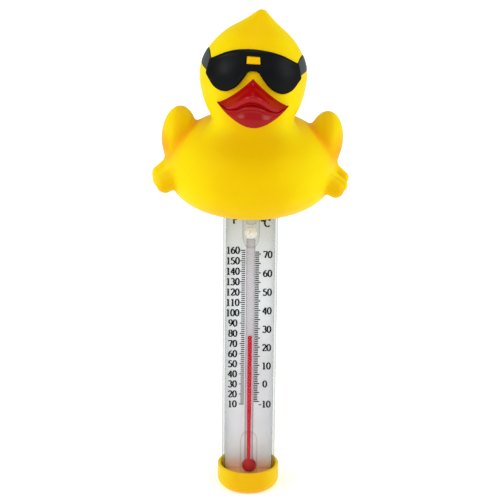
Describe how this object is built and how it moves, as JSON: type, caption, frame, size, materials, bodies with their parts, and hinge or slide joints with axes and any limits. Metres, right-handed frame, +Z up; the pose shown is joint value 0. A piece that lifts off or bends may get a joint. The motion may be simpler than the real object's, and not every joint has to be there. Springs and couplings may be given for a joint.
{
  "type": "floating pool thermometer",
  "caption": "Floating pool thermometer: hollow duck float with sunglasses on a clear tube holding a spirit glass thermometer and a dual scale card, with a weighted bottom cap.",
  "frame": {"origin": "centre of the bottom cap's flat base, on the tube's axis", "axes": "+Z up along the tube to the duck; the duck and the scale face -Y"},
  "size_m": [0.0897, 0.0902, 0.2314],
  "materials": {
    "clear_plastic": "clear gloss",
    "cap_plastic": "satin",
    "seal_rubber": "matte",
    "ballast_steel": "plain",
    "foam": "matte",
    "card": "matte",
    "scale_ink": "matte",
    "thermometer_glass": "clear gloss",
    "spirit": "gloss",
    "seal_bead": "satin",
    "duck_vinyl": "satin",
    "glasses_black": "gloss",
    "bill_red": "gloss"
  },
  "bodies": {
    "tube": {"clear_tube": "clear_plastic", "foam_pad": "foam", "foam_plug": "foam", "top_plug": "cap_plastic", "scale_card": "card", "thermometer_glass": "thermometer_glass", "spirit_fill": "spirit", "spirit_column": "spirit", "stem_tip_seal": "seal_bead", "lower_sleeve": "clear_plastic", "upper_sleeve": "clear_plastic"},
    "spirit": {"spirit_meniscus": "spirit"},
    "cap": {"bottom_cap": "cap_plastic", "cap_seal_ring": "seal_rubber", "ballast_slug": "ballast_steel"},
    "duck": {"duck_shell": "duck_vinyl", "sunglasses": "glasses_black", "bridge_plate": "duck_vinyl", "bill": "bill_red", "socket_sleeve": "cap_plastic", "vent_plug": "duck_vinyl"}
  },
  "joints": [
    {"name": "spirit_level", "type": "slide", "parent": "tube", "child": "spirit", "axis": [0, 0, 1], "range_m": [-0.0363, 0.0407], "deforming": ["spirit_column"]},
    {"name": "duck_swivel", "type": "hinge", "parent": "tube", "child": "duck", "pos_m": [0, 0, 0.1403], "axis": [0, 0, 1], "continuous": true},
    {"name": "cap_pull", "type": "slide", "parent": "tube", "child": "cap", "axis": [0, 0, -1], "range_m": [0, 0.008]}
  ]
}
